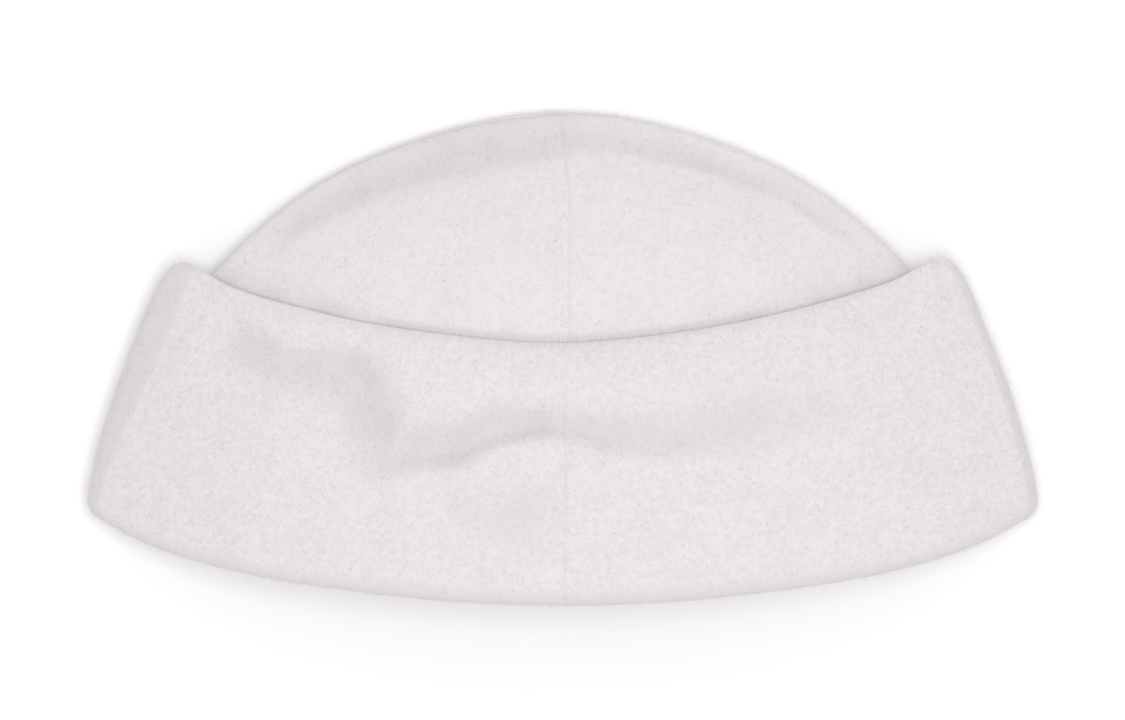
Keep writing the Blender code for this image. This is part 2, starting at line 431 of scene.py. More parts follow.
@dataclass(frozen=True)
class CuffForm:
    """The cuff: a band outside the crown, wider at the rim than at its free edge."""

    cloth: float = 2.6 * MM
    half_width: float = 144.9 * MM
    widest_y: float = -43.9 * MM
    side: float = 67.2 * MM
    taper: float = 21.4 * MM
    taper_power: float = 1.35
    roll: float = 7.0 * MM
    rim_y: float = -71.9 * MM
    rim_side_y: float = -46.5 * MM
    rim_corner_share: float = 0.2
    rim_corner_power: int = 10
    rim_corner_lift: float = 3.0 * MM
    rim_corner_fade: int = 6
    joint_gap: float = 0.45 * MM
    fold_gap: float = 1.2 * MM
    fold_reach: float = 2.6 * MM
    fold_reach_side: float = 0.8 * MM
    fold_side_from: Range = (0.25, 0.6)
    rim_outward: float = 0.8
    front_edge_y: Range = (5.2 * MM, 29.6 * MM)
    back_edge_y: Range = (0.5 * MM, 24.1 * MM)
    edge_low_x: float = -2.0 * MM
    edge_half_span: float = 117.5 * MM
    edge_power: float = 1.8
    corner_drop: float = 3.5 * MM
    edge_standoff: float = 3.2 * MM
    back_depth: float = 4.4 * MM
    back_power: int = 8
    edge_settle: float = 2.4 * MM
    settle_from: float = 14.0 * MM
    edge_trim: float = 2.5 * MM
    edge_trim_left: float = 0.9 * MM
    trim_left_from: Range = (25.0 * MM, 70.0 * MM)
    corner_kept: float = 0.75
    corner_from: Range = (96.0 * MM, 114.0 * MM)
    edge_thinning: float = 1.3 * MM
    edge_thins_over: float = 3.9 * MM

    def half_width_at(self, y: Array) -> Array:
        """Works out the cuff's half width in plan at a height up the hat."""
        above = np.maximum(y - self.widest_y, 0.0) / self.side
        return self.half_width - self.taper * above**self.taper_power

    def edge_y(self, x: Array, face: Face) -> Array:
        """Works out Y of the free edge of a face, which sags between its two corners."""
        low, corner = self.front_edge_y if face is Face.FRONT else self.back_edge_y
        return mix(low, corner, (np.abs(x - self.edge_low_x) / self.edge_half_span) ** self.edge_power)

    def trim_at(self, x: Array) -> Array:
        """Works out how much the front's edge is trimmed: more on the left, and little at the corners."""
        trim = self.edge_trim + self.edge_trim_left * smooth_step(*self.trim_left_from, -x)
        return trim * (1 - self.corner_kept * smooth_step(*self.corner_from, np.abs(x)))

    def rim_bow(self, across: Array) -> Array:
        """Works out how far up a row has risen, from 0 at the centre seam to 1 at the side seam."""
        return mix(across**2, across**self.rim_corner_power, self.rim_corner_share)

    def corner_lift(self, roll: Array, upward: Array) -> Array:
        """Works out how far the roll's columns are lifted at the rim, to round its corners."""
        return self.rim_corner_lift * (1 - np.cos(roll * math.pi / 2)) * (1 - upward) ** self.rim_corner_fade


@dataclass(frozen=True)
class Panel:
    """One panel's place on the hat, and the columns of its grid.

    For each column, share is how far along its row it is, and roll is how far round the roll at the side.
    """

    hand: Hand
    face: Face
    shown: Shown
    share: Array
    roll: Array


@dataclass(frozen=True)
class Grid:
    """How fine the lines of a panel's grid lie."""

    seam_zone: float = 7.0 * MM
    seam_step: float = 0.35 * MM
    side_zone: float = 16.0 * MM
    side_step: float = 0.8 * MM
    step: float = 1.15 * MM
    roll_steps: int = 12
    fewest_roll_steps: int = 5
    fold_steps: int = 12
    edge_steps: int = 6

    def panel(self, hand: Hand, face: Face, width: float) -> Panel:
        """Lays out a panel's columns from the centre seam to the side seam.

        Args:
            hand: Which half of the face.
            face: Which face.
            width: The panel's width at its widest.

        Returns:
            The panel.
        """
        shown = Shown.CLOSE if face is Face.FRONT else Shown.FAR
        stops = [0.0]
        while stops[-1] < width:
            step = self.side_step if width - stops[-1] < self.side_zone else self.step
            step = self.seam_step if stops[-1] < self.seam_zone else step
            stops.append(stops[-1] + step * shown.value)
        steps = max(int(self.roll_steps / shown.value), self.fewest_roll_steps)
        share = np.concatenate([np.array(stops) / stops[-1], np.ones(steps)])
        roll = np.concatenate([np.zeros(len(stops)), np.arange(1, steps + 1) / steps])
        return Panel(hand, face, shown, share[None], roll[None])

    def rows(self, height: float, shown: Shown) -> Array:
        """Lays out the rows of a panel that is height tall, as shares of the height."""
        return np.linspace(0.0, 1.0, int(height / (self.step * shown.value)) + 1)


@dataclass
class Wall:
    """A wall of cloth as grids of points: its outer side, its inner side and a free edge, if it has one."""

    outer: Array
    inner: Array
    edge: Array
    flip: bool
    marks: dict[str, Pair] = field(default_factory=dict)
    weld: float = 0.002 * MM
    sharp: float = math.radians(60)

    def faces(self, index: Array) -> list[list[int]]:
        """Lists the faces of the closed wall.

        Args:
            index: The number of each point. Its rows go up the outer side, over the edge and down the
                inner one.

        Returns:
            The point numbers of each face.
        """
        count, columns = index.shape
        below = np.roll(index, -1, axis=0)
        quads = np.stack([index[:, :-1], index[:, 1:], below[:, 1:], below[:, :-1]], axis=-1)
        faces = quads.reshape(-1, 4).tolist()
        last = len(self.outer) - 1
        for column, turned in ((0, False), (columns - 1, True)):
            line = index[:, column].tolist()
            caps = [[line[row], line[row + 1], line[-row - 2], line[-row - 1]] for row in range(last)]
            if count - 2 * last > 2:
                caps.append(line[last : count - last])
            faces += [cap[::-1] for cap in caps] if turned else caps
        return [face[::-1] for face in faces] if self.flip else faces

    def mesh(self, name: str) -> bpy.types.Mesh:
        """Makes the closed mesh, with each mark as a point attribute.

        Args:
            name: The mesh's name.

        Returns:
            The mesh, with its faces pointing out.
        """
        rings = np.concatenate([self.outer, self.edge, self.inner[::-1]])
        count, columns = rings.shape[:2]
        mesh = bpy.data.meshes.new(name)
        faces = self.faces(np.arange(count * columns).reshape(count, columns))
        mesh.from_pydata(rings.reshape(-1, 3).tolist(), [], faces)
        for mark, (outer, inner) in self.marks.items():
            values = np.concatenate([outer, np.repeat(outer[-1:], len(self.edge), axis=0), inner[::-1]])
            layer = mesh.attributes.new(mark, "FLOAT", "POINT")
            layer.data.foreach_set("value", values.reshape(-1).astype(np.float32))
        build = bmesh.new()
        build.from_mesh(mesh)
        bmesh.ops.remove_doubles(build, verts=build.verts, dist=self.weld)
        bmesh.ops.dissolve_degenerate(build, edges=build.edges, dist=self.weld)
        bmesh.ops.recalc_face_normals(build, faces=build.faces)
        build.to_mesh(mesh)
        build.free()
        mesh.shade_smooth()
        mesh.set_sharp_from_angle(angle=self.sharp)
        return mesh


@dataclass(frozen=True)
class HatForm:
    """The whole hat's form, from which every panel and every row of thread is read."""

    crown: CrownForm = CrownForm()
    cuff: CuffForm = CuffForm()
    crown_seam: Seam = Seam(
        2.1 * MM, 0.13 * MM, groove_width=1.1 * MM, welt=0.2 * MM, thread_rows=(2.4 * MM, 3.9 * MM)
    )
    cuff_seam: Seam = Seam(0.6 * MM, 0.15 * MM, thread_rows=(1.3 * MM,))
    seam_gap: float = 0.01 * MM
    lowest: float = 0.02 * MM
    face_gap: float = 0.3 * MM
    across_sweep: float = math.radians(80)
    under_cuff: float = 16.0 * MM
    seam_hold_power: int = 8
    wave: float = 0.3 * MM
    wave_size: float = 17.0 * MM
    pucker: float = 0.1 * MM
    pucker_size: float = 4.5 * MM
    pucker_seed: float = 31.7
    crown_seed: float = 3.0
    cuff_seed: float = 8.0
    side_groove: float = 0.5 * MM
    side_groove_width: float = 0.8 * MM
    relief_over: float = 12.0 * MM
    seam_relief: float = 0.35
    inner_follows: float = 0.35
    flattened_power: int = 8
    normal_step: float = 0.05 * MM

    def side_height(self, y: Array) -> Array:
        """Works out how high the side seams lie. They sink towards the apex."""
        sunk = smooth_step(self.cuff.front_edge_y[1], self.crown.top_y, y)
        return mix(self.crown.side_height, self.crown.apex_height, sunk)

    def front_rise(self, y: Array) -> Array:
        """Works out how high the front arches over the side seams. It sags a little towards the mouth."""
        sag = 1 - np.minimum((y - self.cuff.rim_y) / (self.crown.mouth_sag_from_y - self.cuff.rim_y), 1.0)
        return self.crown.front_rise * (1 - self.crown.mouth_sag * sag * sag)

    def crown_height(self, x: Array, y: Array, face: Face) -> Array:
        """Works out the height of the surface that the crown's cloth is rolled round.

        Args:
            x: X of each point.
            y: Y of each point.
            face: Which face.

        Returns:
            The height at each point.
        """
        crown, cuff = self.crown, self.cuff
        reach = crown.reach(x, y)
        if face is Face.FRONT:
            return self.side_height(y) + self.front_rise(y) * (1 - reach**crown.front_power)
        on_cuff = crown.roll + cuff.cloth + crown.layer_gap
        past_edge = y - cuff.edge_y(x, Face.BACK) - crown.drop_start
        floor = mix(on_cuff, crown.roll + crown.off_floor, smooth_step(0.0, crown.drop_length, past_edge))
        depth = crown.back_depth + on_cuff - floor
        return np.maximum(self.side_height(y) - depth * (1 - reach**crown.back_power), floor)

    def cuff_height(self, x: Array, y: Array, face: Face) -> Array:
        """Works out the height of the surface that the cuff's cloth is rolled round.

        Args:
            x: X of each point.
            y: Y of each point.
            face: Which face.

        Returns:
            The height at each point.
        """
        crown, cuff = self.crown, self.cuff
        across = np.abs(x) / (cuff.half_width_at(y) - cuff.roll)
        if face is Face.BACK:
            sunk = crown.side_height - cuff.back_depth * (1 - across**cuff.back_power)
            return np.maximum(sunk, cuff.roll + self.face_gap / 2)
        closing = crown.reach(np.zeros_like(y), y) ** crown.front_power
        on_crown = self.front_rise(y) * (1 - closing) + crown.roll
        standoff = mix(cuff.fold_gap, cuff.edge_standoff, smooth_step(cuff.rim_y, cuff.front_edge_y[0], y))
        settled = smooth_step(-cuff.settle_from, 0.0, y - cuff.edge_y(x, face))
        rise = on_crown + (standoff - cuff.edge_settle * settled) + cuff.cloth - cuff.roll
        return crown.side_height + rise * (1 - across**crown.front_power)

    def normals(self, height: Callable[..., Array], x: Array, y: Array, face: Face) -> Array:
        """Reads the outward normals of a core surface.

        Args:
            height: The surface's height function.
            x: X of each point.
            y: Y of each point.
            face: The face that the surface belongs to.

        Returns:
            A unit vector for each point.
        """
        step = self.normal_step
        dx = (height(x + step, y, face) - height(x - step, y, face)) / (2 * step)
        dy = (height(x, y + step, face) - height(x, y - step, face)) / (2 * step)
        return unit(face.value * np.stack([-dx, -dy, np.ones_like(dx)], axis=-1))

    def row_points(self, panel: Panel, half_width: Array, centre_y: Any, side_y: Any, seam: Seam) -> Pair:
        """Lays out rows that run from the centre seam to the side seam.

        Args:
            panel: The panel.
            half_width: Half the width of each row.
            centre_y: Y of each row at the centre seam.
            side_y: Y of each row at the side seam.
            seam: The centre seam that the rows start from.

        Returns:
            X and Y of each point.
        """
        across = np.sin(panel.share * self.across_sweep) / math.sin(self.across_sweep)
        y = mix(centre_y, side_y, self.cuff.rim_bow(across))
        start = seam.x_at(y) + panel.hand.value * np.minimum(self.seam_gap / 2, half_width)
        return mix(start, panel.hand.value * half_width, across), y

    def surface_noise(self, points: Array, seed: float) -> Array:
        """Reads the soft unevenness of cloth that has been worn and laid down."""
        wide = self.wave * ripple(points, self.wave_size, seed)
        return wide + self.pucker * ripple(points, self.pucker_size, seed + self.pucker_seed)

    def crown_free(self, x: Array, y: Array) -> Array:
        """Reads 1 where the crown's cloth is free, and 0 where the side seam holds it."""
        return 1 - np.minimum(self.crown.reach(x, y), 1.0) ** self.seam_hold_power

    def crown_relief(self, outer: Array, free: Array, face: Face) -> Array:
        """Works out the crown's unevenness, the ridge of its side seams and the valley behind the ridge.

        Args:
            outer: The cloth's outer points.
            free: 1 where the cloth is free and 0 where a seam holds it.
            face: Which face.

        Returns:
            The lift at each point, negative where the cloth sinks.
        """
        crown = self.crown
        x, y = outer[..., 0], outer[..., 1]
        relief = self.surface_noise(outer, self.crown_seed + face.value) * free
        inside = crown.inside_edge(x, y) - crown.seam_ridge_in
        relief = relief + crown.seam_ridge * ridge(inside, crown.seam_ridge_width)
        return relief - crown.valley(x, y) if face is Face.FRONT else relief

    def turned(self, normal: Array, outward: Array, roll: Array) -> Array:
        """Turns the normals of the roll's columns from the face's own normal to the side's.

        Args:
            normal: The face's normals.
            outward: The side's normals.
            roll: How far round the roll each column is.

        Returns:
            The turned normals.
        """
        angle = np.arccos(np.clip(np.sum(normal * outward, axis=-1), -1.0, 1.0))[..., None]
        share = roll[..., None]
        made = np.sin((1 - share) * angle) * normal + np.sin(share * angle) * outward
        return np.where(share > 0, unit(made), normal)

    def core_points(self, x: Array, y: Array, z: Array, face: Face) -> Array:
        """Puts X, Y and Z together, with each face clear of the other by half the gap between them."""
        return np.stack([x, y, z + face.value * self.face_gap / 2], axis=-1)

    def side_groove_at(self, roll: Array, radius: float) -> Array:
        """Works out the groove of the side seam, at the end of a roll of some radius."""
        from_join = (1 - roll) * radius * math.pi / 2
        return np.where(roll > 0, self.side_groove * ridge(from_join, self.side_groove_width), 0.0)

    def crown_points(self, past_rim: float, upward: Array, panel: Panel, seam: Seam) -> Pair:
        """Places the crown's cloth.

        Args:
            past_rim: How far beyond the rim's line the rows start.
            upward: 0 at the rim and 1 at the apex, for each row.
            panel: The panel.
            seam: The centre seam.

        Returns:
            The outer and the inner points.
        """
        crown, cuff, face = self.crown, self.cuff, panel.face
        upward = upward[:, None]
        rim_angle = math.asin((cuff.rim_side_y - crown.centre_y) / crown.core) + past_rim / crown.core
        side_angle = mix(rim_angle, math.pi / 2, upward)
        half_width = crown.plan_radius(side_angle) * np.cos(side_angle)
        side_y = crown.centre_y + crown.plan_radius(side_angle) * np.sin(side_angle)
        centre_y = mix(cuff.rim_y + past_rim, crown.top_y, upward)
        x, y = self.row_points(panel, half_width, centre_y, side_y, seam)
        side = np.stack([panel.hand.value * np.cos(side_angle), np.sin(side_angle), 0 * side_angle], axis=-1)
        normal = self.turned(self.normals(self.crown_height, x, y, face), side, panel.roll)
        lift = cuff.corner_lift(panel.roll, upward)
        core = self.core_points(x, y + lift, self.crown_height(x, y, face), face)
        free = self.crown_free(x, y)
        if face is Face.FRONT:
            under = 1 - smooth_step(-self.under_cuff, 0.0, y - cuff.edge_y(x, face))
            push = mix(pressed(CROWN_FOLDS, x, y), pressed(CUFF_FOLDS, x, y), under)
            core = core - normal * (push * free)[..., None]
        outer = core + normal * crown.roll
        relief = self.crown_relief(outer, free, face) * smooth_step(0.0, self.relief_over, y - cuff.rim_y)
        relief = relief + seam.relief(x, y) - self.side_groove_at(panel.roll, crown.roll)
        depth = crown.cloth - self.inner_follows * np.minimum(relief, 0.0)
        made = outer + normal * relief[..., None]
        made[..., 2] = np.maximum(made[..., 2], self.lowest)
        return made, outer - normal * depth[..., None]

    def cuff_points(self, upward: Array, panel: Panel) -> Pair:
        """Places the cuff's outer layer.

        Args:
            upward: 0 at the rim and 1 at the free edge, for each row.
            panel: The panel.

        Returns:
            The outer and the inner points.
        """
        cuff, face, side = self.cuff, panel.face, panel.hand.value
        upward = upward[:, None]
        top_side_y = cuff.edge_y(side * cuff.edge_half_span, face) + 0 * panel.share
        if face is Face.FRONT:
            top_side_y = top_side_y - cuff.corner_drop * (1 - np.cos(panel.roll * math.pi / 2))
        half_width = cuff.half_width_at(mix(cuff.rim_side_y, top_side_y, upward)) - cuff.roll
        x, rim_y = self.row_points(panel, half_width, cuff.rim_y, cuff.rim_side_y, self.cuff_seam)
        held = panel.share**self.seam_hold_power
        edge_y = mix(cuff.edge_y(x, face), top_side_y, held)
        if face is Face.FRONT:
            edge_y = edge_y - cuff.trim_at(x)
        y = mix(rim_y, edge_y, upward)
        outward = np.array([side, 0.0, 0.0])
        normal = self.turned(self.normals(self.cuff_height, x, y, face), outward, panel.roll)
        lift = cuff.corner_lift(panel.roll, upward)
        core = self.core_points(x, y + lift, self.cuff_height(x, y, face), face)
        if face is Face.FRONT:
            core = core - normal * (pressed(CUFF_FOLDS, x, y) * (1 - held))[..., None]
        outer = core + normal * cuff.roll
        relief = self.surface_noise(outer, self.cuff_seed + face.value) * mix(1.0, self.seam_relief, held)
        if face is Face.BACK:
            lying = np.clip(-normal[..., 2], 0, 1) ** self.flattened_power
            relief = np.minimum(relief * (1 - lying), 0.0)
        relief = relief + self.cuff_seam.relief(x, y) - self.side_groove_at(panel.roll, cuff.roll)
        thinning = cuff.edge_thinning * np.clip(1 - (edge_y - y) / cuff.edge_thins_over, 0, 1) ** 2
        depth = cuff.cloth - self.inner_follows * np.minimum(relief, 0.0)
        return outer + normal * (relief - thinning)[..., None], outer - normal * depth[..., None]

    def fold_points(self, turns: Array, panel: Panel) -> Pair:
        """Places the fold where the cloth turns over at the rim.

        Args:
            turns: 0 at the crown and 1 at the cuff, for each row.
            panel: The panel.

        Returns:
            The outer and the inner points.
        """
        cuff = self.cuff
        crown_outer, crown_inner = self.crown_points(0.0, np.zeros(1), panel, self.cuff_seam)
        cuff_outer, cuff_inner = self.cuff_points(np.zeros(1), panel)
        across = panel.hand.value * cuff.rim_outward * panel.share**cuff.rim_corner_power
        outward = np.stack([across, -np.ones_like(across), 0 * across], axis=-1)
        angle = (turns * math.pi)[:, None, None]
        sideways = smooth_step(*cuff.fold_side_from, panel.share)[..., None]
        furthest = cuff.fold_reach + cuff.fold_reach_side * sideways
        made = []
        for start, end, reach in (
            (crown_inner, cuff_outer, furthest),
            (crown_outer, cuff_inner, furthest - cuff.cloth),
        ):
            radius = (end - start) / 2
            along = np.sum(outward * unit(radius), axis=-1, keepdims=True) * unit(radius)
            length = np.minimum(np.linalg.norm(radius, axis=-1, keepdims=True), reach)
            ahead = unit(outward - along) * length
            made.append((start + end) / 2 - radius * np.cos(angle) + ahead * np.sin(angle))
        return made[0], made[1]

    def thread_path(self, x: Array, y: Array, face: Face, on_cuff: bool) -> Pair:
        """Reads a line of points on the outside of the cloth, as a row of thread lies.

        Args:
            x: X of each point.
            y: Y of each point.
            face: Which face.
            on_cuff: Whether the line is on the cuff and not on the crown.

        Returns:
            The points and the cloth's normals there.
        """
        if on_cuff:
            height, radius, seam, folds = self.cuff_height, self.cuff.roll, self.cuff_seam, CUFF_FOLDS
        else:
            height, radius, seam, folds = self.crown_height, self.crown.roll, self.crown_seam, CROWN_FOLDS
        free = np.ones_like(x) if on_cuff else self.crown_free(x, y)
        normal = self.normals(height, x, y, face)
        core = self.core_points(x, y, height(x, y, face), face)
        if face is Face.FRONT:
            core = core - normal * (pressed(folds, x, y) * free)[..., None]
        outer = core + normal * radius
        seed = self.cuff_seed + face.value
        uneven = self.surface_noise(outer, seed) if on_cuff else self.crown_relief(outer, free, face)
        return outer + normal * (seam.relief(x, y) + uneven)[..., None], normal


def place(name: str, data: bpy.types.ID) -> Piece:
    """Puts a mesh, a light or a camera in the scene.

    Args:
        name: The object's name.
        data: What the object holds.

    Returns:
        The object.
    """
    made = bpy.data.objects.new(name, data)
    bpy.context.scene.collection.objects.link(made)
    return made


@dataclass
class NodeTree:
    """A tree of nodes, and short ways to add them."""

    tree: bpy.types.NodeTree

    def plug(self, node: bpy.types.Node, inputs: Mapping[str | int, Any]) -> None:
        """Sets or links a node's inputs.

        Args:
            node: The node.
            inputs: A value or a socket for each input, by name or place. Hidden inputs are passed over.
        """
        for key, value in inputs.items():
            named = [socket for socket in node.inputs if socket.name == key and socket.enabled]
            socket = named[0] if named else node.inputs[key]
            if isinstance(value, Socket):
                self.tree.links.new(value, socket)
            else:
                socket.default_value = value

    def add(self, kind: str, inputs: Mapping[str | int, Any], output: str = "", **settings: Any) -> Socket:
        """Adds a node.

        Args:
            kind: Blender's name for the node's type.
            inputs: A value or a socket for each input, by name or place.
            output: The name of the output to read. The first one is read where there is no name.
            **settings: The node's own settings, which are set before its inputs.

        Returns:
            The output's socket.
        """
        node = self.tree.nodes.new(kind)
        for name, value in settings.items():
            setattr(node, name, value)
        self.plug(node, inputs)
        return next(socket for socket in node.outputs if socket.enabled and output in ("", socket.name))

    def math(self, operation: str, first: Any, second: Any) -> Socket:
        """Adds one sum on two numbers or sockets."""
        return self.add("ShaderNodeMath", {0: first, 1: second}, operation=operation)

    def vector(self, x: Any = 0.0, y: Any = 0.0, z: Any = 0.0) -> Socket:
        """Puts three numbers or sockets together as a vector."""
        return self.add("ShaderNodeCombineXYZ", {0: x, 1: y, 2: z})


class ShaderTree(NodeTree):
    """One material's nodes."""

    def __init__(self, name: str) -> None:
        """Starts a material that holds only its output and its Principled shader.

        Args:
            name: The material's name.
        """
        self.material = bpy.data.materials.new(name)
        self.material.use_nodes = True
        super().__init__(self.material.node_tree)
        self.tree.nodes.clear()
        shader = self.add("ShaderNodeBsdfPrincipled", {})
        self.tree.links.new(shader, self.tree.nodes.new("ShaderNodeOutputMaterial").inputs["Surface"])
        self.shader = shader.node
        self.place = self.add("ShaderNodeTexCoord", {}, "Object")

    def grain(self, size: float, detail: float = 2.0, distortion: float = 0.0) -> Socket:
        """Reads uneven grain of a real size, from 0 to 1."""
        inputs = {"Vector": self.place, "Scale": 1 / size, "Detail": detail, "Distortion": distortion}
        return self.add("ShaderNodeTexNoise", inputs)

    def total(self, *terms: tuple[float, Socket]) -> Socket:
        """Adds up values, each times its share."""
        scaled = (self.math("MULTIPLY", value, share) for share, value in terms)
        return reduce(partial(self.math, "ADD"), scaled)

    def ramp(self, value: Socket, limits: Range) -> Socket:
        """Stretches a value so that the lower limit becomes 0 and the upper one 1."""
        inputs = {"Value": value, 1: limits[0], 2: limits[1]}
        return self.add("ShaderNodeMapRange", inputs, interpolation_type="SMOOTHSTEP")

    def blend(self, share: Any, first: Any, last: Any) -> Socket:
        """Blends two colours."""
        return self.add("ShaderNodeMix", {"Factor": share, "A": first, "B": last}, data_type="RGBA")


@dataclass(frozen=True)
class PlainFinish:
    """A plain pale surface, and what every finish here shares."""

    light: Colour = (0.97, 0.97, 0.97, 1.0)
    roughness: float = 0.9
    sheen: float = 0.0
    specular: float = 0.1

    def detail(self, tree: ShaderTree) -> dict[str, Any]:
        """Adds the nodes of the finish, and lists the shader's inputs that they set."""
        return {"Base Color": self.light}

    def material(self, name: str) -> Material:
        """Makes the finish's material.

        Args:
            name: The material's name.

        Returns:
            The material.
        """
        tree = ShaderTree(name)
        tree.plug(tree.shader, {"Roughness": self.roughness, "Sheen Weight": self.sheen})
        tree.plug(tree.shader, {"Specular IOR Level": self.specular} | self.detail(tree))
        return tree.material


@dataclass(frozen=True)
class FibreFinish(PlainFinish):
    """Loose fibres and thread of the cloth's own colour."""

    light: Colour = (0.80, 0.752, 0.767, 1.0)
    shade: Colour = (0.735, 0.69, 0.705, 1.0)
    size: float = 2.0 * MM
    tone_limits: Range = (0.35, 0.65)
    sheen: float = 0.3
    specular: float = 0.2

    def detail(self, tree: ShaderTree) -> dict[str, Any]:
        """Adds the fibres' two tones."""
        tone = tree.ramp(tree.grain(self.size), self.tone_limits)
        return {"Base Color": tree.blend(tone, self.shade, self.light)}


@dataclass(frozen=True)
class NappedCloth(PlainFinish):
    """Thick matt cloth with a short brushed nap, off-white with a breath of pink."""

    light: Colour = (0.770, 0.723, 0.737, 1.0)
    shade: Colour = (0.711, 0.666, 0.680, 1.0)
    # The grey that the painted shade and the seams' darker lines blend to.
    worn: Colour = (0.66, 0.615, 0.63, 1.0)
    fleck: Colour = (0.50, 0.46, 0.47, 1.0)
    mottle_size: float = 1.8 * MM
    cloud_size: float = 10.0 * MM
    hair_size: float = 0.5 * MM
    fleck_size: float = 0.9 * MM
    tone_limits: Range = (0.36, 0.64)
    fleck_limits: Range = (0.79, 0.83)
    fleck_share: float = 0.15
    flattened: float = 0.6
    bump_depth: float = 0.32 * MM
    bump_strength: float = 0.6
    roughness: float = 0.96
    sheen: float = 0.25
    sheen_roughness: float = 0.6
    specular: float = 0.2

    def detail(self, tree: ShaderTree) -> dict[str, Any]:
        """Adds the cloth's mottle, its grey mark (a darker seam line and painted shade in the creases and
        along the edges), its flecks and the fine bumps of its nap.

        Args:
            tree: The material's nodes.

        Returns:
            The shader's inputs that they set.
        """
        mottle = tree.grain(self.mottle_size, 3.0, 0.4)
        cloud = tree.grain(self.cloud_size)
        hair = tree.grain(self.hair_size, 2.0, 1.5)
        worn = tree.add("ShaderNodeAttribute", {}, "Fac", attribute_name="worn")
        tone = tree.ramp(tree.total((0.66, mottle), (0.24, cloud), (0.10, hair)), self.tone_limits)
        # The grey mark blends in here: a darker seam line, a little grey inside, and painted shade in the
        # creases and along the edges.
        colour = tree.blend(worn, tree.blend(tone, self.shade, self.light), self.worn)
        flecks = tree.ramp(tree.grain(self.fleck_size, 1.0), self.fleck_limits)
        standing = tree.math("SUBTRACT", 1.0, tree.math("MULTIPLY", worn, self.flattened))
        height = tree.math("MULTIPLY", tree.total((0.75, mottle), (0.25, hair)), standing)
        bump = {"Strength": self.bump_strength, "Distance": self.bump_depth, "Height": height}
        flecked = tree.blend(tree.math("MULTIPLY", flecks, self.fleck_share), colour, self.fleck)
        normal = tree.add("ShaderNodeBump", bump)
        return {"Base Color": flecked, "Sheen Roughness": self.sheen_roughness, "Normal": normal}


class GrowTree(NodeTree):
    """A Geometry Nodes tree that grows small things on a mesh, and ends in a plain mesh of them."""

    KINDS = {"Geometry": "NodeSocketGeometry", "Seed": "NodeSocketInt", "Finish": "NodeSocketMaterial"}
    LOWEST = 0.03 * MM

    def __init__(self, name: str, inputs: Mapping[str, Any]) -> None:
        """Starts a tree.

        Args:
            name: The tree's name.
            inputs: Its named inputs and their values. Those that KINDS doesn't name are numbers.
        """
        super().__init__(bpy.data.node_groups.new(name, "GeometryNodeTree"))
        sockets = self.tree.interface
        self.inputs, self.names = inputs, {}
        for label in ("Geometry", *inputs):
            kind = self.KINDS.get(label, "NodeSocketFloat")
            self.names[label] = sockets.new_socket(label, in_out="INPUT", socket_type=kind).identifier
        sockets.new_socket("Geometry", in_out="OUTPUT", socket_type="NodeSocketGeometry")
        self.start = self.tree.nodes.new("NodeGroupInput")

    def given(self, name: str) -> Socket:
        """Reads a named input."""
        return self.start.outputs[name]

    def scaled(self, name: str, share: float) -> Socket:
        """Reads a share of a named input."""
        return self.math("MULTIPLY", self.given(name), share)

    def finish(self, instances: Socket) -> None:
        """Ends the tree in Realize Instances, a floor for every point, and Set Material.

        Args:
            instances: What grew.
        """
        real = self.add("GeometryNodeRealizeInstances", {0: instances})
        x = self.add("ShaderNodeSeparateXYZ", {0: self.add("GeometryNodeInputPosition", {})})
        y, z = x.node.outputs["Y"], x.node.outputs["Z"]
        lifted = self.vector(x, y, self.math("MAXIMUM", z, self.LOWEST))
        moved = self.add("GeometryNodeSetPosition", {"Geometry": real, "Position": lifted})
        dressed = self.add("GeometryNodeSetMaterial", {"Geometry": moved, "Material": self.given("Finish")})
        self.tree.links.new(dressed, self.tree.nodes.new("NodeGroupOutput").inputs[0])

    def grow(self, name: str, carrier: bpy.types.Mesh, **changes: Any) -> Piece:
        """Runs the tree on a mesh.

        Args:
            name: The new object's name.
            carrier: The mesh that the tree reads.
            **changes: New values for named inputs.

        Returns:
            A plain mesh object of what grew.
        """
        holder = place(name + "_carrier", carrier)
        modifier = holder.modifiers.new("grow", "NODES")
        modifier.node_group = self.tree
        for label, value in (self.inputs | changes).items():
            modifier[self.names[label]] = value
        bpy.context.view_layer.update()
        graph = bpy.context.evaluated_depsgraph_get()
        mesh = bpy.data.meshes.new_from_object(holder.evaluated_get(graph))
        holder.modifiers.remove(modifier)
        bpy.data.objects.remove(holder)
        mesh.name = name
        return place(name, mesh)


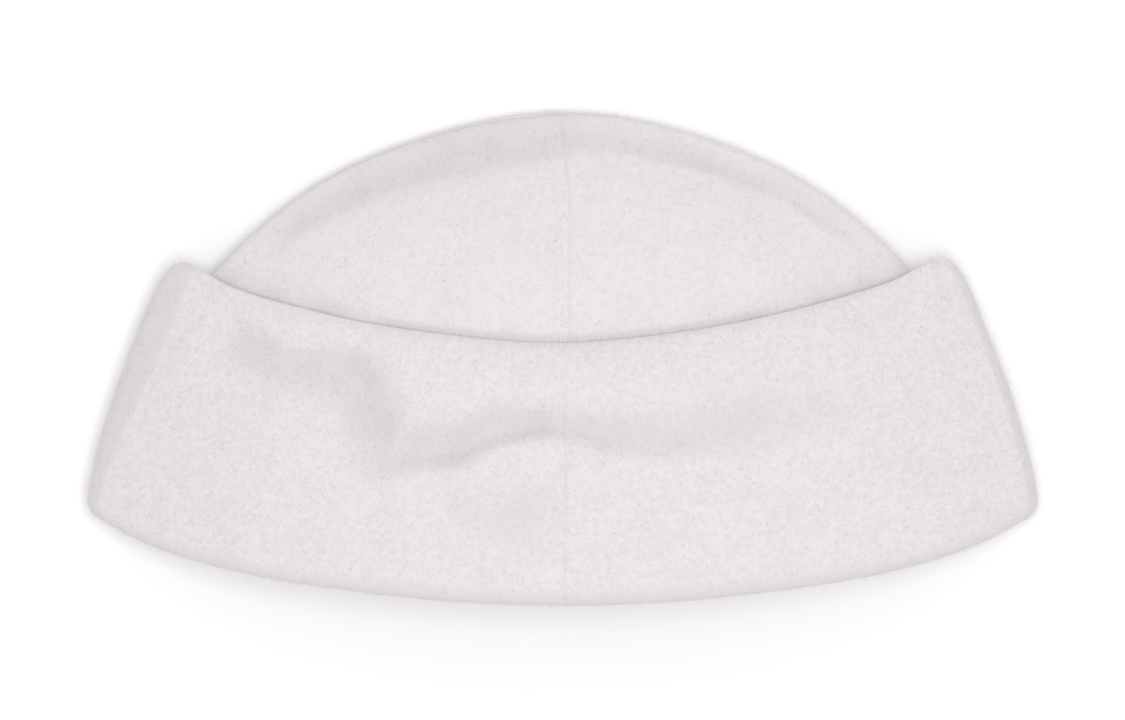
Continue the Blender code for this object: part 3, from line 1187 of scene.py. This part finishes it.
@dataclass
class Nap:
    """Short bent fibres that stand on the cloth where its nap mark says."""

    finish: Material
    length: float = 1.25 * MM
    thickness: float = 0.07 * MM
    lean: Range = (math.radians(25), math.radians(80))
    scale: Range = (0.5, 1.25)
    per_square_mm: float = 0.5
    bend: tuple[Range, Range, Range] = ((0.0, -0.15), (0.0, 0.6), (0.45, 0.75))
    taper: float = 0.9

    def __post_init__(self) -> None:
        """Builds the tree of nodes that all panels share."""
        inputs = {
            "Density": self.per_square_mm / MM**2,
            "Length": self.length,
            "Thickness": self.thickness,
            "Least Lean": self.lean[0],
            "Most Lean": self.lean[1],
            "Seed": 0,
            "Finish": self.finish,
        }
        tree = self.tree = GrowTree("nap", inputs)
        seed = tree.given("Seed")
        mark = tree.add("GeometryNodeInputNamedAttribute", {"Name": "nap"}, data_type="FLOAT")
        density = tree.math("MULTIPLY", mark, tree.given("Density"))
        cloth = {"Mesh": tree.given("Geometry"), "Density": density, "Seed": seed}
        points = tree.add("GeometryNodeDistributePointsOnFaces", cloth, distribute_method="RANDOM")
        least, most = tree.vector(tree.given("Least Lean")), tree.vector(tree.given("Most Lean"), z=math.tau)
        limits = {"Min": least, "Max": most, "Seed": seed}
        lean = tree.add("FunctionNodeRandomValue", limits, data_type="FLOAT_VECTOR")
        lean = tree.add("FunctionNodeEulerToRotation", {0: lean})
        turn = {"Rotation": points.node.outputs["Rotation"], "Rotate By": lean}
        turned = tree.add("FunctionNodeRotateRotation", turn, rotation_space="LOCAL")
        limits = {"Min": self.scale[0], "Max": self.scale[1], "Seed": seed}
        size = tree.add("FunctionNodeRandomValue", limits, data_type="FLOAT")
        fibres = {"Points": points, "Instance": self.fibre(), "Rotation": turned, "Scale": size}
        tree.finish(tree.add("GeometryNodeInstanceOnPoints", fibres))

    def fibre(self) -> Socket:
        """Adds one fibre: a bent hair with three sides that tapers to a point.

        Returns:
            The fibre's mesh.
        """
        tree = self.tree
        root, bend, tip = (
            tree.vector(y=tree.scaled("Length", ahead), z=tree.scaled("Length", up))
            for ahead, up in self.bend
        )
        curve = {"Resolution": 2, "Start": root, "Middle": bend, "End": tip}
        hair = tree.add("GeometryNodeCurveQuadraticBezier", curve)
        along = tree.math("MULTIPLY", tree.add("GeometryNodeSplineParameter", {}), self.taper)
        taper = tree.math("SUBTRACT", 1.0, along)
        tapered = tree.add("GeometryNodeSetCurveRadius", {"Curve": hair, "Radius": taper})
        circle = {"Resolution": 3, "Radius": tree.scaled("Thickness", 0.5)}
        side = tree.add("GeometryNodeCurvePrimitiveCircle", circle)
        skin = {"Curve": tapered, "Profile Curve": side, "Fill Caps": True}
        return tree.add("GeometryNodeCurveToMesh", skin)

    def grow(self, name: str, cloth: Piece, seed: int, share: float) -> Piece:
        """Grows the nap of one panel, at a share of the densest."""
        return self.tree.grow(name, cloth.data, Density=share * self.per_square_mm / MM**2, Seed=seed)


@dataclass
class Stitching:
    """Rows of thread that follow a path along a seam."""

    finish: Material
    pitch: float = 2.3 * MM
    length: float = 1.75 * MM
    width: float = 0.4 * MM
    height: float = 0.28 * MM

    def __post_init__(self) -> None:
        """Builds the tree of nodes that all rows share."""
        inputs = {
            "Pitch": self.pitch,
            "Length": self.length,
            "Width": self.width,
            "Height": self.height,
            "Finish": self.finish,
        }
        tree = self.tree = GrowTree("stitching", inputs)
        path = tree.add("GeometryNodeMeshToCurve", {"Mesh": tree.given("Geometry")})
        spacing = {"Curve": path, "Length": tree.given("Pitch")}
        spaced = tree.add("GeometryNodeResampleCurve", spacing, mode="LENGTH")
        up = tree.add("GeometryNodeInputNamedAttribute", {"Name": "up"}, data_type="FLOAT_VECTOR")
        axes = {0: tree.add("GeometryNodeInputTangent", {}), 1: up}
        facing = tree.add("FunctionNodeAxesToRotation", axes, primary_axis="X", secondary_axis="Z")
        ball = tree.add("GeometryNodeMeshUVSphere", {"Segments": 8, "Rings": 6, "Radius": 0.5})
        size = tree.vector(*(tree.given(label) for label in ("Length", "Width", "Height")))
        thread = tree.add("GeometryNodeTransform", {"Geometry": ball, "Scale": size})
        stitches = {"Points": spaced, "Instance": thread, "Rotation": facing}
        tree.finish(tree.add("GeometryNodeInstanceOnPoints", stitches))

    def sew(self, name: str, paths: list[Pair]) -> Piece:
        """Sews rows of thread.

        Args:
            name: The new piece's name.
            paths: For each row, its points and the cloth's normals there.

        Returns:
            The stitches as one piece.
        """
        places, ups, edges = [], [], []
        for points, normals in paths:
            edges += [(len(places) + i, len(places) + i + 1) for i in range(len(points) - 1)]
            places += points.tolist()
            ups += normals.tolist()
        carrier = bpy.data.meshes.new(name + "_path")
        carrier.from_pydata(places, edges, [])
        layer = carrier.attributes.new("up", "FLOAT_VECTOR", "POINT")
        layer.data.foreach_set("vector", np.array(ups, np.float32).reshape(-1))
        return self.tree.grow(name, carrier)


@dataclass
class Layer(ABC):
    """What the crown and the cuff share: how their panels are built and dressed."""

    form: HatForm
    nap: Nap
    stitching: Stitching
    name: str
    on_cuff: bool
    cloth: NappedCloth
    flat: Range
    area: float
    held: str
    row_span: float
    first_seed: int
    sewn: tuple[Face, ...]
    seam_wear_width: float
    seam_wear: float = 0.2
    grid: Grid = Grid()
    inner_wear: float = 0.1
    # Painted shade: how dark the creases and the edges are painted, the crease depth at which it is darkest,
    # and uneven patches in the crease shade.
    crease_painted_shade: float = 0.86
    crease_full: float = 3.6 * MM
    edge_painted_shade: float = 0.72
    patch_size: float = 10.0 * MM
    patch_share: float = 0.45
    patch_seed: float = 5.5
    nap_share: float = 1.0
    nap_above: float = 1.6 * MM
    thread_points: int = 90

    def build(self) -> None:
        """Makes the four panels, with their nap and threads, hangs them on the root body and hides the CAD
        parts that they stand in for.
        """
        finish = self.cloth.material(self.name + "_cloth")
        for face in Face:
            for hand in Hand:
                panel = self.grid.panel(hand, face, self.width)
                name = f"{self.name}_{face.name.lower()}_{hand.name.lower()}"
                mesh = self.wall(panel).mesh(name + "_cloth")
                mesh.materials.append(finish)
                cloth = place(name + "_cloth", mesh)
                seed = self.first_seed + 2 * face.value + hand.value
                trims = [self.nap.grow(name + "_nap", cloth, seed, self.nap_share / panel.shown.value)]
                if hand is Hand.LEFT and face in self.sewn:
                    trims.append(self.threads(face))
                for piece in (cloth, *trims):
                    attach(piece, "root")
                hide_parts(name)
                counts = len(mesh.polygons), len(trims)
                LOG.info("%s: %d faces of cloth, %d pieces on it", cloth.name, *counts)

    @property
    @abstractmethod
    def width(self) -> float:
        """The width of a panel at its widest, up to the roll."""

    @property
    def seam(self) -> Seam:
        """The centre seam."""
        return self.form.cuff_seam if self.on_cuff else self.form.crown_seam

    @abstractmethod
    def shape(self, panel: Panel) -> tuple[Array, Array, Array, Array]:
        """Places a panel's outer points, inner points and free edge, and marks where its nap grows."""

    @abstractmethod
    def painted_edge_shade(self, x: Array, y: Array, face: Face) -> Array:
        """Works out the painted shade along the edges."""

    @abstractmethod
    def sunk(self, x: Array, y: Array) -> Array:
        """Works out how deep the front's creases are."""

    @abstractmethod
    def thread_ends(self, face: Face) -> Range:
        """Reads the heights up the hat between which the rows of thread run."""

    def wall(self, panel: Panel) -> Wall:
        """Makes one panel's wall of cloth, marked with where its nap grows and where its colour is blended
        to grey, mostly as painted shade.

        Args:
            panel: The panel.

        Returns:
            The wall.
        """
        outer, inner, edge, nap = self.shape(panel)
        worn = self.worn(outer, panel.face)
        marks = {"nap": (nap, np.zeros_like(nap)), "worn": (worn, np.full_like(nap, self.inner_wear))}
        return Wall(outer, inner, edge, panel.hand.value * panel.face.value < 0, marks)

    def worn(self, points: Array, face: Face) -> Array:
        """Works out where the cloth's colour is blended to grey and its nap flattened: a darker line in the
        seam's groove, and painted shade along the edges and in the creases.

        Args:
            points: The cloth's outer points.
            face: Which face.

        Returns:
            A share from 0 to 1 for each point.
        """
        x, y = points[..., 0], points[..., 1]
        worn = self.seam_wear * ridge(x - self.seam.x_at(y), self.seam_wear_width)
        worn = worn + self.painted_edge_shade(x, y, face)
        if face is Face.FRONT:
            patches = 1 + self.patch_share * ripple(points, self.patch_size, self.patch_seed)
            # Painted shade in the creases, darker where they are deeper, in uneven patches.
            worn = worn + self.crease_painted_shade * patches * smooth_step(0.0, self.crease_full, self.sunk(x, y))
        return np.clip(worn, 0, 1)

    def threads(self, face: Face) -> Piece:
        """Sews the rows of thread beside the centre seam of a face.

        Args:
            face: Which face.

        Returns:
            The stitches.
        """
        y = np.linspace(*self.thread_ends(face), self.thread_points)
        rows = self.seam.thread_rows
        paths = [self.form.thread_path(self.seam.x_at(y) - row, y, face, self.on_cuff) for row in rows]
        return self.stitching.sew(f"{self.name}_{face.name.lower()}_threads", paths)


@dataclass
class Crown(Layer):
    """The crown's four gores."""

    name: str = "crown"
    on_cuff: bool = False
    # Painted light: the crown's copy of the cloth is a little lighter than the cuff's, to brighten the
    # crown.
    cloth: NappedCloth = NappedCloth(
        light=(0.778, 0.731, 0.746, 1.0), shade=(0.735, 0.689, 0.704, 1.0), bump_depth=0.24 * MM
    )
    flat: Range = (144 * MM, 156 * MM)
    area: float = 0.0168
    held: str = "laid"
    row_span: float = 205.1 * MM
    first_seed: int = 11
    sewn: tuple[Face, ...] = (Face.FRONT, Face.BACK)
    seam_wear_width: float = 0.7 * MM
    # Painted shade along the outline, and the painted shadow that the cuff's free edge casts on the crown
    # just above it.
    edge_painted_shade: float = 0.15
    edge_band: Range = (2.0 * MM, 5.2 * MM)
    beside_painted_shadow: float = 0.7
    beside_starts: Range = (1.6 * MM, 2.9 * MM)
    beside_ends: Range = (3.4 * MM, 5.4 * MM)
    beside_fade: float = 0.65
    beside_fades: Range = (45 * MM, 90 * MM)
    nap_share: float = 0.7
    nap_under_cuff: float = 1.5 * MM
    hidden_rows: int = 16
    hidden_share: float = 0.5
    thread_inset: Range = (2 * MM, 3 * MM)

    @property
    def width(self) -> float:
        """The width of a gore at its widest, up to the roll."""
        return self.form.crown.core

    def shape(self, panel: Panel) -> tuple[Array, Array, Array, Array]:
        """Places a gore's cloth. The rows that the cuff hides are further apart.

        Args:
            panel: The gore.

        Returns:
            The outer points, the inner points, no free edge, and where the nap grows.
        """
        form, cuff = self.form, self.form.cuff
        hidden = np.linspace(0, self.hidden_share, self.hidden_rows, endpoint=False)
        seen = mix(self.hidden_share, 1.0, self.grid.rows(self.row_span, panel.shown))
        outer, inner = form.crown_points(cuff.joint_gap, np.concatenate([hidden, seen]), panel, self.seam)
        bare = cuff.edge_y(outer[..., 0], panel.face) - self.nap_under_cuff
        nap = (outer[..., 1] > bare) * (outer[..., 2] > self.nap_above)
        return outer, inner, np.zeros((0, *outer.shape[1:])), nap.astype(float)

    def painted_edge_shade(self, x: Array, y: Array, face: Face) -> Array:
        """Works out the painted shade along the outline, and the painted shadow of the cuff's free edge on
        the crown beside it.

        Args:
            x: X of each point.
            y: Y of each point.
            face: Which face.

        Returns:
            A share from 0 to 1 for each point.
        """
        cuff = self.form.cuff
        past_cuff = y - cuff.edge_y(x, face) + (cuff.trim_at(x) if face is Face.FRONT else 0.0)
        beside = smooth_step(*self.beside_starts, past_cuff)
        beside = beside * (1 - smooth_step(*self.beside_ends, past_cuff))
        beside = beside * (1 - self.beside_fade * smooth_step(*self.beside_fades, np.abs(x)))
        outline = 1 - smooth_step(*self.edge_band, self.form.crown.inside_edge(x, y))
        return self.edge_painted_shade * outline + self.beside_painted_shadow * beside

    def sunk(self, x: Array, y: Array) -> Array:
        """Works out how deep the front's creases are."""
        return pressed(CROWN_FOLDS, x, y) + self.form.crown.valley(x, y)

    def thread_ends(self, face: Face) -> Range:
        """Reads the heights up the hat between which the rows of thread run."""
        edge = self.form.cuff.front_edge_y if face is Face.FRONT else self.form.cuff.back_edge_y
        return edge[0] - self.thread_inset[0], self.form.crown.top_y - self.thread_inset[1]


@dataclass
class Cuff(Layer):
    """The cuff's four panels."""

    name: str = "cuff"
    on_cuff: bool = True
    cloth: NappedCloth = NappedCloth()
    flat: Range = (153 * MM, 106 * MM)
    area: float = 0.0131
    held: str = "folded"
    row_span: float = 82 * MM
    first_seed: int = 31
    sewn: tuple[Face, ...] = (Face.FRONT,)
    seam_wear_width: float = 0.6 * MM
    # The band of painted shade at the sides and along the rim; it is wider on the left.
    left_band: float = 9.4 * MM
    left_band_low: float = 3.4 * MM
    left_band_rises: Range = (-50 * MM, 5 * MM)
    right_band: float = 3.2 * MM
    left_to_right: Range = (-10 * MM, 10 * MM)
    side_fades: Range = (0.75, 1.2)
    low_band: float = 4.4 * MM
    low_fades: Range = (0.3, 1.4)
    fold_nap: float = 0.4
    thread_inset: Range = (1 * MM, 1.5 * MM)

    @property
    def width(self) -> float:
        """The width of a panel at its widest, up to the roll."""
        return self.form.cuff.half_width - self.form.cuff.roll

    def shape(self, panel: Panel) -> tuple[Array, Array, Array, Array]:
        """Places a panel's cloth, from its joint with the crown round the rim to its rounded free edge.

        Args:
            panel: The panel.

        Returns:
            The outer points, the inner points, the free edge, and where the nap grows.
        """
        steps = self.grid.fold_steps
        folds = self.form.fold_points(np.arange(steps) / steps, panel)
        cuffs = self.form.cuff_points(self.grid.rows(self.row_span, panel.shown), panel)
        outer, inner = (np.concatenate(both) for both in zip(folds, cuffs))
        nap = (outer[..., 2] > self.nap_above).astype(float)
        nap[: steps // 3] = self.fold_nap
        steps = self.grid.edge_steps
        angle = (np.arange(1, steps) / steps * math.pi)[:, None, None]
        middle, radius = (outer[-1] + inner[-1]) / 2, (outer[-1] - inner[-1]) / 2
        ahead = unit(outer[-1] - outer[-2]) * np.linalg.norm(radius, axis=-1, keepdims=True)
        return outer, inner, middle + radius * np.cos(angle) + ahead * np.sin(angle), nap

    def painted_edge_shade(self, x: Array, y: Array, face: Face) -> Array:
        """Works out the painted shade along the rim and the sides, in a band that is wider on the left side.

        Args:
            x: X of each point.
            y: Y of each point.
            face: Which face. Not used.

        Returns:
            A share from 0 to 1 for each point.
        """
        left = mix(self.left_band_low, self.left_band, smooth_step(*self.left_band_rises, y))
        band = mix(left, self.right_band, smooth_step(*self.left_to_right, x))
        side = (self.form.cuff.half_width_at(y) - np.abs(x)) / band
        low = (y - y.min(axis=0)) / self.low_band
        return self.edge_painted_shade * (1 - smooth_step(*self.side_fades, side) * smooth_step(*self.low_fades, low))

    def sunk(self, x: Array, y: Array) -> Array:
        """Works out how deep the front's creases are."""
        return pressed(CUFF_FOLDS, x, y)

    def thread_ends(self, face: Face) -> Range:
        """Reads the heights up the hat between which the row of thread runs."""
        cuff = self.form.cuff
        return cuff.rim_y + self.thread_inset[0], cuff.front_edge_y[0] - self.thread_inset[1]


@dataclass(frozen=True)
class Studio:
    """A plain pale floor, even white light, one soft light nearly above and a camera straight above."""

    photo_size: tuple[int, int] = (1125, 720)
    hat_pixel: Range = (563.0, 358.5)
    metres_per_pixel: float = 290 * MM / 950
    outline_height: float = 11 * MM
    camera_distance: float = 4.0
    sensor_mm: float = 36.0
    floor_size: float = 12.0
    floor_z: float = -0.02 * MM
    light_place: tuple[float, float, float] = (0.1, -0.06, 2.0)
    light_size: float = 0.8
    light_watts: float = 17.0
    world_strength: float = 0.715

    def build(self) -> None:
        """Makes the floor, the light, the surroundings and the camera."""
        self.floor()
        self.light()
        self.world()
        self.camera()

    def floor(self) -> None:
        """Makes the floor."""
        bpy.ops.mesh.primitive_plane_add(size=self.floor_size, location=(0.0, 0.0, self.floor_z))
        plane = bpy.context.object
        plane.name = "floor"
        plane.data.materials.append(PlainFinish().material("floor"))
        plane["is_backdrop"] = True

    def light(self) -> None:
        """Makes one soft square light that points at the hat."""
        data = bpy.data.lights.new("key", "AREA")
        data.shape = "SQUARE"
        data.size = self.light_size
        data.energy = self.light_watts
        lamp = place("key", data)
        lamp.location = self.light_place
        lamp.rotation_euler = (-Vector(self.light_place)).to_track_quat("-Z", "Y").to_euler()

    def world(self) -> None:
        """Makes the even white surroundings."""
        world = bpy.data.worlds.new("studio")
        world.use_nodes = True
        background = world.node_tree.nodes["Background"]
        background.inputs["Color"].default_value = (1.0, 1.0, 1.0, 1.0)
        background.inputs["Strength"].default_value = self.world_strength
        bpy.context.scene.world = world

    def camera(self) -> None:
        """Makes the camera, straight above, with the hat where the photograph has it."""
        width, height = self.photo_size
        data = bpy.data.cameras.new("camera")
        data.sensor_width = self.sensor_mm
        data.lens = self.sensor_mm * self.camera_distance / (width * self.metres_per_pixel)
        camera = place("camera", data)
        x = (width / 2 - self.hat_pixel[0]) * self.metres_per_pixel
        y = (self.hat_pixel[1] - height / 2) * self.metres_per_pixel
        camera.location = (x, y, self.outline_height + self.camera_distance)
        bpy.context.scene.camera = camera
        bpy.context.scene.view_settings.view_transform = "Standard"


def main() -> None:
    """Builds the hat and its studio."""
    logging.basicConfig(level=logging.INFO, format="%(name)s: %(message)s", stream=sys.stdout)
    nap = Nap(FibreFinish().material("nap_fibre"))
    stitching = Stitching(FibreFinish().material("sewing_thread"))
    for layer in (Crown(HatForm(), nap, stitching), Cuff(HatForm(), nap, stitching)):
        layer.build()
    Studio().build()
    pairs = (("cad", CAD_BOX), ("visual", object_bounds()))
    boxes = {name: [list(corner) for corner in box] for name, box in pairs}


if __name__ == "__main__":
    main()
